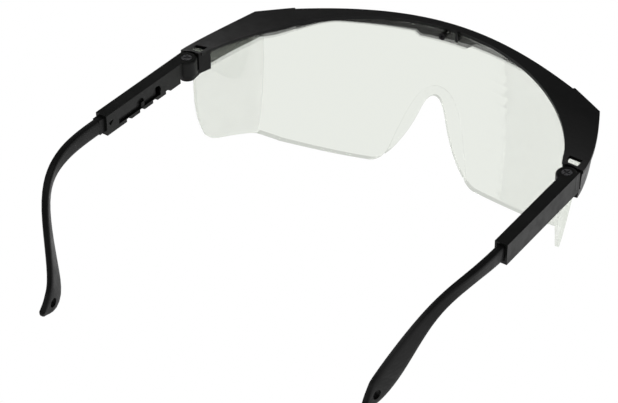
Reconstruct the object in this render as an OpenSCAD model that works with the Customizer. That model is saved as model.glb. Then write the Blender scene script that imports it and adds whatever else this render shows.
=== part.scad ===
// Safety glasses: a black browed frame, one clear wraparound lens and two
// adjustable temples. Origin: the top of the lens's nose arch, where the
// glasses bear on the bridge of the nose. +X is the wearer's left, +Y points
// back along the temples and +Z is up. Millimetres.

/* [Brow] */
// Height of the brow's front edge above the top of the nose arch
brow_z = 27.1; // [26.5:0.1:27.5]
// How far the brow's front edge stands ahead of the nose arch
brow_reach = 10; // [9.8:0.1:10.2]
// Backward slope of the front edge towards its ends
front_slope = 0.714; // [0.710:0.002:0.718]
// Radius of the edge that follows the wearer's forehead
face_r = 74.2; // [73.8:0.1:74.4]
// Radius of the top, seen from the front
crown_r = 700; // [660:10:740]
// Thickness of the top plate
plate_t = 1.3; // [1.2:0.1:1.5]
// Thickness of the lip that hangs in front of the lens
lip_t = 1.3; // [1.2:0.1:1.3]
// Depth of the lip below the middle of the brow
lip_front = 5.9; // [5.6:0.1:6.2]
// Depth of the lip below the middle of the brow, along the sides
lip_side = 13.8; // [13.6:0.1:14]
// Half width of the tab in the middle of the lip
tab_half = 9.6; // [8:0.2:12]

/* [Lens] */
// Inner radius of the lens's front at its top
lens_r = 108.5; // [108:0.1:109]
// Thickness of the lens's front
lens_t = 2.1; // [2:0.1:2.1]
// Thickness of the side shields
side_t = 1.3; // [1.2:0.1:1.4]
// Depth of the lens's lowest point below the top of the nose arch
lens_drop = 30.3; // [30:0.1:31]

/* [Hinges] */
// Distance of each hinge axis from the middle of the frame
hinge_x = 75.8; // [75.7:0.1:75.9]
// Distance of each hinge axis behind the nose arch
hinge_y = 53.8; // [53.7:0.1:53.9]
// Radius of the temple's hinge barrel
barrel_r = 3.9; // [3.7:0.1:3.9]
// Angle of the left temple at rest, beyond straight back, degrees
left_open = 8.5; // [0:0.5:8.5]
// Angle of the right temple at rest, beyond straight back, degrees
right_open = -6; // [-10:0.5:8.5]

/* [Temples] */
// Length of the sleeve behind the hinge axis
sleeve_l = 46.2; // [46:0.2:48]
// Height of the sleeve
sleeve_h = 8.3; // [8.2:0.1:8.4]
// Height of the blade that slides in the sleeve
blade_h = 6; // [5.8:0.1:6]
// Thickness of the blade
blade_t = 3; // [2.6:0.1:3]
// Height of the paddle near the end of the ear piece
paddle_h = 11.2; // [9:0.1:12]
// Radius of the cord hole in the paddle
cord_hole_r = 1.8; // [1.5:0.1:2]

// How far the left ear piece is drawn out of its sleeve
left_slide = 0; // [-9:0.5:12]
// How far the right ear piece is drawn out of its sleeve
right_slide = -6.6; // [-9:0.2:12]

/* [Hidden] */
$fn = 96;
black = [0.09, 0.09, 0.09];
clear = [0.86, 0.90, 0.88, 0.45];
steel = [0.62, 0.63, 0.64];

// Brow, seen from above: half of it, the other half is its mirror image
front_bend = 47.8;        // larger makes the middle of the front edge flatter
step_x = 57.3;            // the plate steps forward here
step_out = 0.7;           // by this much
corner = [70.6, 12.1];    // outer corner, where the lens folds
side_end = [80.4, 50.3];  // outer corner beside the hinge
side_bow = 1.55;          // how the side curves between the two
lug_front = 45.4;         // front of the block that carries the hinge
face_y = face_r - 6.7;    // centre of the forehead arc
rise_start = 12.2;        // the top curves up behind this
rise = 0.002;             // times the square of the distance behind it
lip_lean = 6.3;           // the lip leans inward along the sides, degrees
tab_mid = 0.8;
tab_drop = 1.7;
tab_ramp = 2.4;

// Lens
lens_y = -5.8;            // inner face of the lens at the brow
lean = [0.1383, 0.0018];  // how its front moves back with depth: line and curve
top_lean = 8.6;           // its lean at the stud, degrees
fold = [65.1, 18.5, 18];  // a point near the fold, on the side shield's inner face
side_turn = 20.2;         // direction of the side shields, seen from above
side_lean = 8.4;          // lean of the side shields
lobe_x = 22;              // the lens is deepest this far from the middle
stud_drop = 3.2;          // stud below the top of the lens
stud_r = 0.8;
key_x = -5.5;             // locating key of the frame in the lens's top edge
key_d = 4.6;
tab_y = [44.9, 47.5];     // span of the lens's tabs, which pass up through the brow
tab_hole = [72.7, 44, 4.8, 4.6];     // corner and size of the hole round each tab
fit_gap = 0.12;

// Nose arch, from its top down one side: half width and height of its edge on
// the lens's front face, then of its turned-back edge, then how far that turns
arch = [
    [0, 2.65, 0, 0, 0.73],
    [2.6, 2.1, 0.9, -0.15, 0.75],
    [4.7, 0.9, 2, -0.8, 0.8],
    [6.7, -1, 3.1, -2.1, 0.9],
    [8.3, -3.3, 4.1, -3.9, 1],
    [9.6, -5.8, 5.05, -6.2, 1],
    [10.9, -8.7, 6, -9, 1],
    [12.1, -12, 7.2, -12.2, 1],
    [13.2, -15.2, 8.65, -15.5, 0.9],
    [14.3, -18.6, 10.4, -18.9, 0.8],
    [15.2, -21.8, 12.3, -22, 0.6],
    [16, -24.6, 14.3, -24.8, 0.3],
    [16.8, -27, 16.4, -27.1, 0]];
rim_t = 1.2;              // thickness of the turned-back edge

// Temple, about its hinge axis: x outward, y back
sleeve_top = brow_z - 1.5;
sleeve_z = sleeve_top - sleeve_h;
sleeve_x = [-1.1, 3.85];  // inner and outer face
inner_rise = 0.7;         // the inner wall ends this far above the outer one
sleeve_start = 5.2;       // the box begins behind the hinge barrel
cheek_t = 0.85;           // the outer wall runs forward past the barrel
cheek_y = -2.5;
ear_lug_r = 3;            // the frame's lug below the barrel
ear_lug_t = 2.3;
ear_lug_z = sleeve_z - 0.4;
barrel_edge = 0.9;        // rounding of the barrel's top
play = 0.1;               // beside the blade and above the lug
blade_x = (sleeve_x[0] + sleeve_x[1]) / 2;
blade_z = sleeve_top - 3.8;
channel_start = 8;
slot_y = [16.5, 39.7];    // the slot that the blade's peg runs in
slot_z = [1.5, 3.8];      // above the sleeve's bottom
peg_y = [25.6, 27.2];
blade_front = 18.3;
lobe_y = [18.5, 28];      // detent lobes above the slot
lobe_h = 2.2;
notch_y = 13.6;           // steep wall of the first notch in the lower edge
notch_pitch = 7.3;
notch_h = 1.2;
screw_r = 1;
screw_play = 0.06;
head_r = 1.9;
head_t = 0.8;

// Ear piece, as control points of one smooth curve: place of the centre, then
// twist in degrees, height and thickness there
route = [
    [blade_x, 48, 0, 0, blade_h, blade_t],
    [blade_x, 53, 0, 0, blade_h, blade_t],
    [blade_x, 58, 0, 0, blade_h, blade_t],
    [0, 71.7, -0.2, -6.4, blade_h - 1, blade_t],
    [-5.2, 86.7, -5.4, 36.4, blade_h - 1.7, 2.65],
    [-17.6, 94.4, -36.9, 28.9, paddle_h, 2.6],
    [-18.2, 99.1, -38, -3.4, paddle_h + 0.1, 2.55],
    [-18.3, 103.6, -39.5, 11.6, 2.5, 2.45]];
knots = [0, 0, 0, 0, 0.2, 0.4, 0.6, 0.8, 1, 1, 1, 1];
ring_count = 36;
hole_at = 0.919;          // the cord hole's place along the curve
section_points = 20;

function unit(v) = v / norm(v);
function smooth(u) = let (c = min(1, max(0, u))) c * c * (3 - 2 * c);
function arc(c, r, a, b, n) = [for (i = [0:n]) c + r * [cos(a + (b - a) * i / n), sin(a + (b - a) * i / n)]];
function front_y(x) = norm([front_bend, front_slope * x]) - front_bend - brow_reach;
function side_x(y) = side_end[0] - (side_end[0] - corner[0])
    * pow((side_end[1] - y) / (side_end[1] - corner[1]), side_bow);
function crown_z(p) = brow_z - p[0] * p[0] / (2 * crown_r) + rise * pow(max(0, p[1] - rise_start), 2);
function lens_in(z) = lens_y + lean[0] * (brow_z - z) + lean[1] * pow(brow_z - z, 2);
function lens_face(x, z, out) = let (r = lens_y + lens_r - lens_in(z) + out)
    lens_y + lens_r - sqrt(r * r - x * x);

// ---- brow frame ----

side_edge = [for (i = [0:16])
    let (y = corner[1] + (side_end[1] - corner[1]) * i / 16) [side_x(y), y]];
brow_edge = concat(
    [for (i = [0:30]) let (x = -1 + (step_x + 1) * i / 30) [x, front_y(x)]],
    [[step_x + 0.4, front_y(step_x) - step_out]],
    side_edge);

module half_brow_outline() {
    polygon(concat(brow_edge, [[68, side_end[1] - 1.4], [-1, side_end[1] - 1.4]]));
}

// Everything lower than this far below the brow's top surface, which arches
// over the wearer's forehead and sweeps up towards the hinges
module crown(below) {
    top = crown_r - below;
    translate([0, 0, brow_z - crown_r]) rotate([-90, 0, 0]) rotate_extrude($fn = 720)
        polygon(concat([[crown_r - 60, -60], [top, -60]],
            [for (i = [0:16]) let (y = rise_start + 3 * i) [top + rise * pow(y - rise_start, 2), y]],
            [[crown_r - 60, rise_start + 48]]));
}

module plate() {
    difference() {
        linear_extrude(height = brow_z + 8) difference() {
            union() {
                half_brow_outline();
                mirror([1, 0]) half_brow_outline();
            }
            translate([0, face_y]) circle(r = face_r, $fn = 240);
        }
        crown(plate_t);
    }
}

// Wall all along the outer edge. Its lower edge has a tab in the middle and
// drops towards the sides.
function lip_low(x) = brow_z - lip_front - (lip_side - lip_front) * smooth((abs(x) - 40) / 29);
function inset(p, q, d) = d * unit([p[1] - q[1], q[0] - p[0]]);

module half_lip() {
    last = len(brow_edge) - 1;
    inner = [for (i = [last:-1:0])
        brow_edge[i] + inset(brow_edge[max(0, i - 1)], brow_edge[min(last, i + 1)], lip_t)];
    intersection() {
        translate([corner[0], 0, brow_z]) rotate([0, lip_lean, 0]) translate([-corner[0], 0, -24])
            linear_extrude(height = 36) polygon(concat(brow_edge, inner));
        translate([0, -20, 0]) cube([90, 90, 40]);
    }
}

module lip() intersection() {
    union() {
        half_lip();
        mirror([1, 0, 0]) half_lip();
    }
    translate([0, 60, 0]) rotate([90, 0, 0]) linear_extrude(height = 80) union() {
        polygon(concat([[-90, 60]], [for (x = [-90:3:90]) [x, lip_low(x)]], [[90, 60]]));
        translate([tab_mid, brow_z - lip_front]) polygon([[-tab_half - tab_ramp, 0.1],
            [-tab_half, -tab_drop], [tab_half, -tab_drop], [tab_half + tab_ramp, 0.1]]);
    }
}

// Block under the plate's end, with a lug that lies below the hinge barrel
module hinge_lug() {
    difference() {
        translate([0, 0, sleeve_z]) linear_extrude(height = brow_z - sleeve_z)
            polygon([[70.6, lug_front], [78.4, lug_front], [side_end[0] - 0.6, side_end[1]],
                     [72.7, side_end[1]]]);
        intersection() {
            side_slab(fit_gap);
            translate([60, 30, 0]) cube([30, 48.55 - 30, 40]);
        }
        translate([hinge_x, hinge_y, ear_lug_z + ear_lug_t])
            cylinder(r = barrel_r + 0.25, h = 20);
    }
    difference() {
        translate([hinge_x, hinge_y, ear_lug_z]) {
            cylinder(r = ear_lug_r, h = ear_lug_t);
            translate([-ear_lug_r, -4.6, 0]) cube([ear_lug_r + 2.4, 4.6, ear_lug_t]);
        }
        translate([hinge_x, hinge_y, 0]) cylinder(r = screw_r, h = 30);
    }
}

module brow_frame() color(black) difference() {
    intersection() {
        union() {
            plate();
            lip();
            hinge_lug();
            mirror([1, 0, 0]) hinge_lug();
            translate([key_x - 0.4, -9.3, brow_z - key_d]) cube([0.8, 3.9, key_d]);
        }
        crown(0);
    }
    for (side = [0, 1]) mirror([side, 0, 0]) {
        translate([hinge_x, hinge_y, ear_lug_z + ear_lug_t]) cylinder(r = barrel_r + 0.25, h = 30);
        translate([tab_hole[0], tab_hole[1], sleeve_z - 1]) cube([tab_hole[2], tab_hole[3], 30]);
    }
    on_lens() translate([0, -lens_t - 2.25, -stud_drop]) rotate([-90, 0, 0])
        cylinder(r = stud_r, h = 5);
}

// ---- lens ----

// Frame that leans with the lens's top; y = 0 there is the lens's inner face
module on_lens() {
    translate([0, lens_y, brow_z]) rotate([top_lean, 0, 0]) children();
}

module side_place() {
    translate(fold) rotate([0, 0, -side_turn]) rotate([0, side_lean, 0]) children();
}

// The flat side shield's own thickness, grown by a gap on both faces
module side_slab(gap) {
    side_place() translate([-gap, -40, -90]) cube([side_t + 2 * gap, 100, 130]);
}

// Everything inward of the side shield's inner face, grown outward
module behind_side(grow) {
    side_place() translate([grow - 200, -100, -100]) cube([200, 260, 200]);
}

// Everything behind the front's inner face, grown forward
module behind_front(grow) {
    translate([0, lens_y + lens_r, 0]) rotate_extrude($fn = 240) polygon(concat([[0, -36]],
        [for (z = [-36:4:32]) [lens_y + lens_r - lens_in(z) + grow, z]], [[0, 32]]));
}

module inside_lens(front, side) {
    intersection() {
        behind_front(front);
        behind_side(side);
        mirror([1, 0, 0]) behind_side(side);
    }
}

function lens_low(x) = 0.0054 * pow(x - lobe_x, 2) - lens_drop;

module lens_front_view() {
    half = concat(
        [[-1, 60], [-1, arch[0][1]]],
        [for (a = arch) [a[0], a[1]]],
        [[17.7, -28.4], [19, -29.3], [20.4, -30]],
        [for (x = [lobe_x:3:55]) [x, lens_low(x)]],
        [[62.3, -20.9], [62.3, -60], [90, -60], [90, 60]]);
    for (side = [0, 1]) mirror([side, 0, 0])
        translate([0, 100, 0]) rotate([90, 0, 0]) linear_extrude(height = 140) polygon(half);
}

module lens_side_view() {
    rotate([90, 0, 90]) translate([0, 0, -100]) linear_extrude(height = 200) polygon([
        [-40, -60], [23.4, -60], [23.4, -24.2], [27.2, -20.8], [30, -19.3], [38, -16.5], [44, -14.8],
        [46.6, -13.6], [48.2, -11.8], [49.3, -8], [49.9, -4], [50, 0], [49.8, 4], [49.2, 8.6], [48.5, 13],
        [48.3, ear_lug_z - 0.3], [48.3, 40], [-40, 40]]);
}

// Below the plate, but for a tab at each end of the lens
module below_brow() {
    crown(plate_t + fit_gap);
    intersection() {
        crown(0.9);
        translate([-100, tab_y[0], 10]) cube([200, tab_y[1] - tab_y[0], 30]);
    }
}

module lens() color(clear) {
    difference() {
        intersection() {
            difference() {
                inside_lens(lens_t, side_t);
                inside_lens(0, 0);
            }
            lens_front_view();
            lens_side_view();
            below_brow();
        }
        on_lens() translate([0, -10, -stud_drop]) rotate([-90, 0, 0])
            cylinder(r = stud_r + 0.15, h = 20);
        translate([key_x - 0.55, -12, brow_z - key_d - 0.2]) cube([1.1, 10, 9]);
    }
    arch_rim();
}

// Rim along the nose arch that turns back to bear on the nose
module arch_rim() {
    n = len(arch);
    half = [for (a = arch) let (deep = min(a[4], 0.73 + a[4]))
        [[a[0] + 0.4, lens_face(a[0] + 0.4, a[1] + 0.4, lens_t), a[1] + 0.4],
         [a[0] + 0.4, lens_face(a[0] + 0.4, a[1] + 0.4, 0), a[1] + 0.4],
         [a[2], lens_face(a[2], a[3], 0) + a[4], a[3]],
         [a[2], lens_face(a[2], a[3], 0) + a[4] - rim_t, a[3]]]];
    rings = concat([for (i = [n - 1:-1:1]) [for (p = half[i]) [-p[0], p[1], p[2]]]],
        [[for (p = half[0]) [0, p[1], p[2]]]], [for (i = [1:n - 1]) half[i]]);
    last = len(rings) - 1;
    polyhedron(points = [for (g = rings) for (p = g) p], faces = concat(
        [for (k = [0:last - 1]) for (i = [0:3])
            let (a = k * 4 + i, b = k * 4 + (i + 1) % 4) each [[a, b, b + 4], [a, b + 4, a + 4]]],
        [[0, 2, 1], [0, 3, 2]],
        [[last * 4, last * 4 + 1, last * 4 + 2], [last * 4, last * 4 + 2, last * 4 + 3]]));
}

module lens_stud() color(black) on_lens() translate([0, 0, -stud_drop]) rotate([-90, 0, 0]) {
    translate([0, 0, -lens_t - 2.2]) cylinder(r = stud_r, h = lens_t + 2.3);
    difference() {
        translate([0, 0, 0.05]) cylinder(r = 1.4, h = 0.8);
        cylinder(r = 0.55, h = 2);
    }
}

// ---- temples ----

module left_side() {
    translate([hinge_x, hinge_y, 0]) rotate([0, 0, -left_open]) children();
}

module right_side() {
    mirror([1, 0, 0]) translate([hinge_x, hinge_y, 0]) rotate([0, 0, -right_open]) children();
}

module sleeve_slot() {
    rotate([90, 0, 90]) linear_extrude(height = 2) {
        translate([slot_y[0], slot_z[0]]) square([slot_y[1] - slot_y[0], slot_z[1] - slot_z[0]]);
        for (y = lobe_y) translate([y, slot_z[1]]) circle(r = lobe_h);
    }
}

// Saw-tooth notch in the lower edge: steep behind, sloping in front
module notch(y) {
    translate([sleeve_x[0] - 0.5, 0, sleeve_z]) rotate([90, 0, 90]) linear_extrude(height = 1.8)
        polygon([[y, -1], [y, notch_h], [y - 1, notch_h], [y - 2.6, 0], [y - 2.6, -1]]);
}

module sleeve() color(black) {
    barrel_z = ear_lug_z + ear_lug_t + play;
    difference() {
        union() {
            translate([sleeve_x[0], sleeve_start, sleeve_z])
                cube([sleeve_x[1] - sleeve_x[0], sleeve_l - sleeve_start, sleeve_h]);
            translate([sleeve_x[1] - cheek_t, cheek_y, sleeve_z])
                cube([cheek_t, sleeve_start - cheek_y + 1, sleeve_h]);
            rotate_extrude() polygon(concat([[0, barrel_z], [barrel_r, barrel_z]],
                arc([barrel_r - barrel_edge, sleeve_top - barrel_edge], barrel_edge, 0, 90, 6),
                [[0, sleeve_top]]));
            translate([sleeve_x[0], 0, barrel_z])
                cube([sleeve_x[1] - sleeve_x[0], sleeve_start + 1, sleeve_top - barrel_z]);
        }
        translate([blade_x - blade_t / 2 - play, channel_start, blade_z - blade_h / 2 - play])
            cube([blade_t + 2 * play, sleeve_l, blade_h + 2 * play]);
        translate([sleeve_x[0] - 0.5, 0, sleeve_z]) sleeve_slot();
        for (i = [0:3]) notch(notch_y + notch_pitch * i);
        translate([sleeve_x[0] - 1, 0, sleeve_z]) rotate([90, 0, 90]) linear_extrude(height = 1.5)
            polygon([[42.4, 5.2], [45.4, 5.2], [44.2, 3.4]]);
        cylinder(r = screw_r + screw_play, h = 40);
        translate([0, 0, sleeve_top - head_t - play]) cylinder(r = head_r + 0.2, h = 5);
    }
}

function share(i, k, t) = k == 0
    ? (t >= knots[i] && (t < knots[i + 1] || (t == 1 && knots[i + 1] == 1)) ? 1 : 0)
    : let (a = knots[i + k] - knots[i], b = knots[i + k + 1] - knots[i + 1])
        (a > 0 ? (t - knots[i]) / a * share(i, k - 1, t) : 0)
        + (b > 0 ? (knots[i + k + 1] - t) / b * share(i + 1, k - 1, t) : 0);
function along(t, i = 0) = route[i] * share(i, 3, t) + (i < len(route) - 1 ? along(t, i + 1) : 0 * route[0]);
function centre(t) = let (c = along(t)) [c[0], c[1], c[2]];
function heading(t) = unit(centre(min(1, t + 0.002)) - centre(max(0, t - 0.002)));
function level(t) = unit([1, 0, 0] - heading(t) * heading(t)[0]);
function outward(t) = level(t) * cos(along(t)[3]) + cross(level(t), heading(t)) * sin(along(t)[3]);
function upward(t) = cross(outward(t), heading(t));

// A flat section with rounded edges, of height h and thickness w
function section(h, w) = [for (i = [0:section_points - 1])
    let (a = 360 * i / section_points, c = cos(a), s = sin(a))
    [w / 2 * sign(c) * pow(abs(c), 0.45), h / 2 * sign(s) * pow(abs(s), 0.45)]];
function ring(t, ahead, size) = [for (q = section(along(t)[4] * size, along(t)[5] * size))
    centre(t) + heading(t) * ahead + outward(t) * q[0] + upward(t) * q[1]];

module bent_part() {
    tip = route[len(route) - 1][4] / 2;
    rings = concat(
        [for (i = [0:ring_count]) ring(i / ring_count, 0, 1)],
        [for (a = [30, 60, 80]) ring(1, tip * sin(a), cos(a))]);
    n = section_points;
    last = (len(rings) - 1) * n;
    polyhedron(points = [for (g = rings) for (p = g) p], faces = concat(
        [for (k = [0:len(rings) - 2]) for (i = [0:n - 1])
            let (a = k * n + i, b = k * n + (i + 1) % n) each [[a, b, b + n], [a, b + n, a + n]]],
        [for (i = [1:n - 2]) [0, i + 1, i]],
        [for (i = [1:n - 2]) [last, last + i, last + i + 1]]));
}

module ear_piece() color(black) difference() {
    union() {
        translate([blade_x - blade_t / 2, blade_front, blade_z - blade_h / 2])
            cube([blade_t, route[0][1] + 1 - blade_front, blade_h]);
        translate([-0.95, peg_y[0], sleeve_z + slot_z[0] + 0.1])
            cube([1.6, peg_y[1] - peg_y[0], slot_z[1] - slot_z[0] - 0.2]);
        translate([0, 0, blade_z]) bent_part();
    }
    n = outward(hole_at);
    h = heading(hole_at);
    u = upward(hole_at);
    translate([0, 0, blade_z]) translate(centre(hole_at))
        multmatrix([[h[0], u[0], n[0], 0], [h[1], u[1], n[1], 0], [h[2], u[2], n[2], 0]])
            translate([0, 0, -10]) cylinder(r = cord_hole_r, h = 20);
}

module hinge_screw() color(steel) translate([hinge_x, hinge_y, 0]) difference() {
    union() {
        translate([0, 0, sleeve_z + 0.3]) cylinder(r = screw_r, h = sleeve_h - 0.8);
        translate([0, 0, sleeve_top - head_t]) cylinder(r = head_r, h = head_t);
    }
    for (a = [0, 90]) rotate([0, 0, a + 20]) translate([-1.4, -0.25, sleeve_top - 0.45])
        cube([2.8, 0.5, 2]);
}

brow_frame();
lens();
lens_stud();
left_side() sleeve();  // left_temple_sleeve
right_side() sleeve();  // right_temple_sleeve
left_side() translate([0, left_slide, 0]) ear_piece();  // left_ear_piece
right_side() translate([0, right_slide, 0]) ear_piece();  // right_ear_piece
hinge_screw();  // left_hinge_screw
mirror([1, 0, 0]) hinge_screw();  // right_hinge_screw
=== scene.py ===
"""Looks of a pair of safety glasses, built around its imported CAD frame.

Row frame, metres: origin at the top of the nose rim, +X to the wearer's left,
+Y back along the temples, +Z up.
"""

import math

import bpy
from mathutils import Matrix, Vector


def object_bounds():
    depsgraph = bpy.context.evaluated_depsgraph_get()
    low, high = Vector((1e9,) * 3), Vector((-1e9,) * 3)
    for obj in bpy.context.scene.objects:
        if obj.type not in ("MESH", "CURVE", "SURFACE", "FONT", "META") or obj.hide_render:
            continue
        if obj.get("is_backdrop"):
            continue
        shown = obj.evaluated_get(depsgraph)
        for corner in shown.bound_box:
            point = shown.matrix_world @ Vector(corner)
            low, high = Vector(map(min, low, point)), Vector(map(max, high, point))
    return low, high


MM = 0.001
PLASTIC_IOR = 1.5
BLACK_GLOSS = 0.14           # specular level of the satin mouldings
LENS_TINT = (0.885, 0.9, 0.868)
LENS_STRAIGHT = 0.72         # share of light that passes the sheet unbent
WHITE = (1, 1, 1, 1)

# Camera: direction in degrees round the object, place in metres, then the lens
AZIMUTH = 208.76
ELEVATION = 37.21
ROLL = -0.53
CAMERA_AT = Vector((-0.3112, 0.6665, 0.5079))
FOCAL_MM = 137.7
SENSOR_MM = 36.0

# Edge rounding of the carried-over CAD nodes: radius in millimetres
EDGE_RADIUS = {
    "brow_frame": 0.35,
    "lens": 0.3,
    "lens_stud": 0.25,
    "left_temple_sleeve": 0.3,
    "right_temple_sleeve": 0.3,
    "left_hinge_screw": 0.12,
    "right_hinge_screw": 0.12,
    "left_ear_piece": 0.2,
    "right_ear_piece": 0.2,
}


# ---------------------------------------------------------------- materials


def new_material(name):
    mat = bpy.data.materials.new(name)
    mat.use_nodes = True
    return mat, mat.node_tree, mat.node_tree.nodes["Principled BSDF"]


def add(tree, kind, **settings):
    node = tree.nodes.new(kind)
    for key, value in settings.items():
        if hasattr(node, key):
            setattr(node, key, value)
        else:
            node.inputs[key.replace("_", " ")].default_value = value
    return node


def noise(tree, per_metre, detail=2.0, rough=0.5):
    where = add(tree, "ShaderNodeTexCoord")
    tex = add(tree, "ShaderNodeTexNoise", Scale=per_metre, Detail=detail, Roughness=rough)
    tree.links.new(where.outputs["Object"], tex.inputs["Vector"])
    return tex.outputs["Fac"]


def spread(tree, value, low, high, start=0.35, end=0.65):
    remap = add(tree, "ShaderNodeMapRange")
    remap.inputs["From Min"].default_value = start
    remap.inputs["From Max"].default_value = end
    remap.inputs["To Min"].default_value = low
    remap.inputs["To Max"].default_value = high
    tree.links.new(value, remap.inputs["Value"])
    return remap.outputs["Result"]


def blend_colours(tree, value, dark, light):
    ramp = add(tree, "ShaderNodeValToRGB")
    ramp.color_ramp.elements[0].position = 0.3
    ramp.color_ramp.elements[0].color = (*dark, 1)
    ramp.color_ramp.elements[1].position = 0.7
    ramp.color_ramp.elements[1].color = (*light, 1)
    tree.links.new(value, ramp.inputs["Fac"])
    return ramp.outputs["Color"]


def moulded_black(name, dark, light, rough_low, rough_high, grain_per_metre, grain_depth):
    """Satin black moulding: cloudy gloss from handling over a fine moulded grain."""
    mat, tree, shader = new_material(name)
    clouds = noise(tree, 90.0, detail=4.0)
    tree.links.new(blend_colours(tree, clouds, dark, light), shader.inputs["Base Color"])
    handling = noise(tree, 220.0, detail=3.0, rough=0.6)
    tree.links.new(spread(tree, handling, rough_low, rough_high), shader.inputs["Roughness"])
    shader.inputs["IOR"].default_value = PLASTIC_IOR
    shader.inputs["Specular IOR Level"].default_value = BLACK_GLOSS
    grain = noise(tree, grain_per_metre, detail=2.0)
    bump = add(tree, "ShaderNodeBump", Strength=0.35, Distance=grain_depth)
    tree.links.new(grain, bump.inputs["Height"])
    tree.links.new(bump.outputs["Normal"], shader.inputs["Normal"])
    return mat


def clear_polycarbonate():
    """Polished sheet with the faint warm-green tint of polycarbonate."""
    mat, tree, shader = new_material("clear_polycarbonate")
    shader.inputs["Base Color"].default_value = (*LENS_TINT, 1)
    shader.inputs["Transmission Weight"].default_value = 1.0
    shader.inputs["IOR"].default_value = PLASTIC_IOR
    haze = noise(tree, 60.0, detail=3.0)
    tree.links.new(spread(tree, haze, 0.0, 0.025), shader.inputs["Roughness"])
    # Most light passes straight through so thin a sheet, and all of it does on
    # its way to a lamp, so that the shadow stays faint
    path = add(tree, "ShaderNodeLightPath")
    through = add(tree, "ShaderNodeBsdfTransparent")
    through.inputs["Color"].default_value = (*LENS_TINT, 1)
    mix = add(tree, "ShaderNodeMixShader")
    out = tree.nodes["Material Output"]
    to_lamp = path.outputs["Is Shadow Ray"]
    straight = spread(tree, to_lamp, LENS_STRAIGHT, 1.0, start=0.0, end=1.0)
    tree.links.new(straight, mix.inputs["Fac"])
    tree.links.new(shader.outputs["BSDF"], mix.inputs[1])
    tree.links.new(through.outputs["BSDF"], mix.inputs[2])
    tree.links.new(mix.outputs["Shader"], out.inputs["Surface"])
    return mat


def plated_steel():
    """Dark plated screw head with fine turning marks."""
    mat, tree, shader = new_material("zinc_plated_steel")
    turned = noise(tree, 1800.0, detail=3.0)
    colours = blend_colours(tree, turned, (0.10, 0.10, 0.11), (0.30, 0.30, 0.31))
    tree.links.new(colours, shader.inputs["Base Color"])
    tree.links.new(spread(tree, turned, 0.22, 0.45), shader.inputs["Roughness"])
    shader.inputs["Metallic"].default_value = 1.0
    return mat


def dress(obj, material):
    obj.data.materials.clear()
    obj.data.materials.append(material)


# ---------------------------------------------------------------- CAD nodes


def soften(obj, radius_mm):
    """Rounds a CAD node's edges and shades its flats flat."""
    obj.data.shade_smooth()
    bevel = obj.modifiers.new("edges", "BEVEL")
    bevel.width = radius_mm * MM
    bevel.segments = 3
    bevel.limit_method = "ANGLE"
    bevel.angle_limit = math.radians(32)
    bevel.use_clamp_overlap = True
    bevel.harden_normals = True
    obj.modifiers.new("flats", "WEIGHTED_NORMAL").keep_sharp = True


# ---------------------------------------------------------------- stage


def box_centre():
    lo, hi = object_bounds()
    return (lo + hi) / 2


def make_floor(height):
    bpy.ops.mesh.primitive_plane_add(size=6, location=(0, 0, height))
    floor = bpy.context.object
    floor.name = "floor"
    # It glows evenly and so takes no shadows, like a cut-out's white ground
    mat, tree, shader = new_material("white_sweep")
    shader.inputs["Base Color"].default_value = (0.0, 0.0, 0.0, 1)
    shader.inputs["Specular IOR Level"].default_value = 0.0
    shader.inputs["Emission Color"].default_value = WHITE
    shader.inputs["Emission Strength"].default_value = 1.0
    dress(floor, mat)
    floor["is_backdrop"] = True


def area_light(name, size, watts, place, aim):
    data = bpy.data.lights.new(name, "AREA")
    data.shape = "RECTANGLE"
    data.size, data.size_y = size
    data.energy = watts
    lamp = bpy.data.objects.new(name, data)
    bpy.context.scene.collection.objects.link(lamp)
    lamp.location = place
    lamp.rotation_euler = (Vector(aim) - Vector(place)).to_track_quat("-Z", "Y").to_euler()
    return lamp


def light_stage(aim):
    world = bpy.data.worlds.new("studio")
    bpy.context.scene.world = world
    world.use_nodes = True
    tree = world.node_tree
    where = add(tree, "ShaderNodeTexCoord")
    split = add(tree, "ShaderNodeSeparateXYZ")
    tree.links.new(where.outputs["Generated"], split.inputs["Vector"])
    # White towards the horizon, dark overhead
    sky = spread(tree, split.outputs["Z"], 0.95, 0.12, start=0.1, end=0.5)
    tree.links.new(sky, tree.nodes["Background"].inputs["Strength"])
    tree.nodes["Background"].inputs["Color"].default_value = WHITE
    area_light("overhead", (1.0, 0.8), 2.6, (0.1, 0.3, 1.1), aim)
    area_light("side", (0.5, 0.8), 1.4, (-1.0, 0.1, 0.5), aim)


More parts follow.
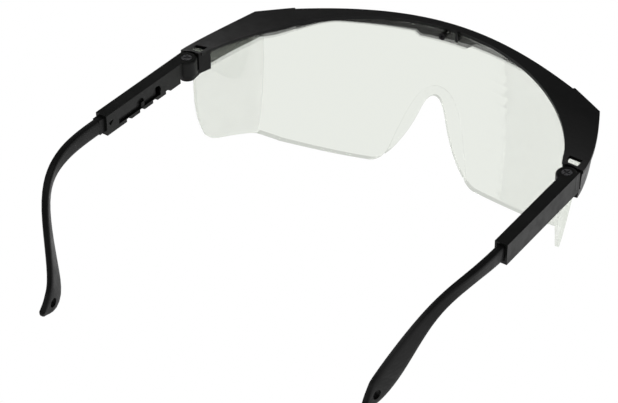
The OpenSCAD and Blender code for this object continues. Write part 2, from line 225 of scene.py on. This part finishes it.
def make_camera():
    data = bpy.data.cameras.new("camera")
    data.lens = FOCAL_MM
    data.sensor_width = SENSOR_MM
    data.clip_start, data.clip_end = 0.05, 20
    cam = bpy.data.objects.new("camera", data)
    bpy.context.scene.collection.objects.link(cam)
    a, e = math.radians(AZIMUTH), math.radians(ELEVATION)
    back = Vector((math.sin(a) * math.cos(e), -math.cos(a) * math.cos(e), math.sin(e)))
    level = Vector((math.cos(a), math.sin(a), 0))
    turn = Matrix.Rotation(math.radians(ROLL), 3, back)
    right = turn @ level
    up = back.cross(right)
    facing = Matrix((right, up, back)).transposed().to_4x4()
    cam.matrix_world = Matrix.Translation(CAMERA_AT) @ facing
    bpy.context.scene.camera = cam


# ---------------------------------------------------------------- build

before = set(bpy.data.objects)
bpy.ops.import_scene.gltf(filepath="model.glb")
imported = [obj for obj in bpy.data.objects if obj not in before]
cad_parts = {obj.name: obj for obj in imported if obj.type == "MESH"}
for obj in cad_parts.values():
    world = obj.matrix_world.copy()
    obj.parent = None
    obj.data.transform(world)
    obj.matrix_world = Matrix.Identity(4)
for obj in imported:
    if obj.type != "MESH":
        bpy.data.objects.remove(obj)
cad_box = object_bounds()

# Black mouldings: darkest and lightest colour, least and most roughness, then
# the grain's fineness per metre and its depth in metres
BLACK = {
    "brow": moulded_black(
        "brow_black", (0.003,) * 3, (0.0055,) * 3, 0.34, 0.46, 5200.0, 0.00003),
    "sleeve": moulded_black(
        "sleeve_black", (0.0045, 0.005, 0.0045), (0.008, 0.0085, 0.008),
        0.30, 0.42, 5200.0, 0.00003),
    "ear": moulded_black(
        "ear_black", (0.004,) * 3, (0.007,) * 3, 0.36, 0.48, 4200.0, 0.00004),
}
CLEAR = clear_polycarbonate()
STEEL = plated_steel()
FINISH = {
    "brow_frame": BLACK["brow"],
    "lens": CLEAR,
    "lens_stud": BLACK["brow"],
    "left_temple_sleeve": BLACK["sleeve"],
    "right_temple_sleeve": BLACK["sleeve"],
    "left_ear_piece": BLACK["ear"],
    "right_ear_piece": BLACK["ear"],
    "left_hinge_screw": STEEL,
    "right_hinge_screw": STEEL,
}
for name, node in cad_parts.items():
    dress(node, FINISH[name])
    soften(node, EDGE_RADIUS[name])

make_camera()
make_floor(cad_box[0].z - 0.0005)
light_stage(box_centre())
bpy.context.scene.view_settings.view_transform = "Standard"
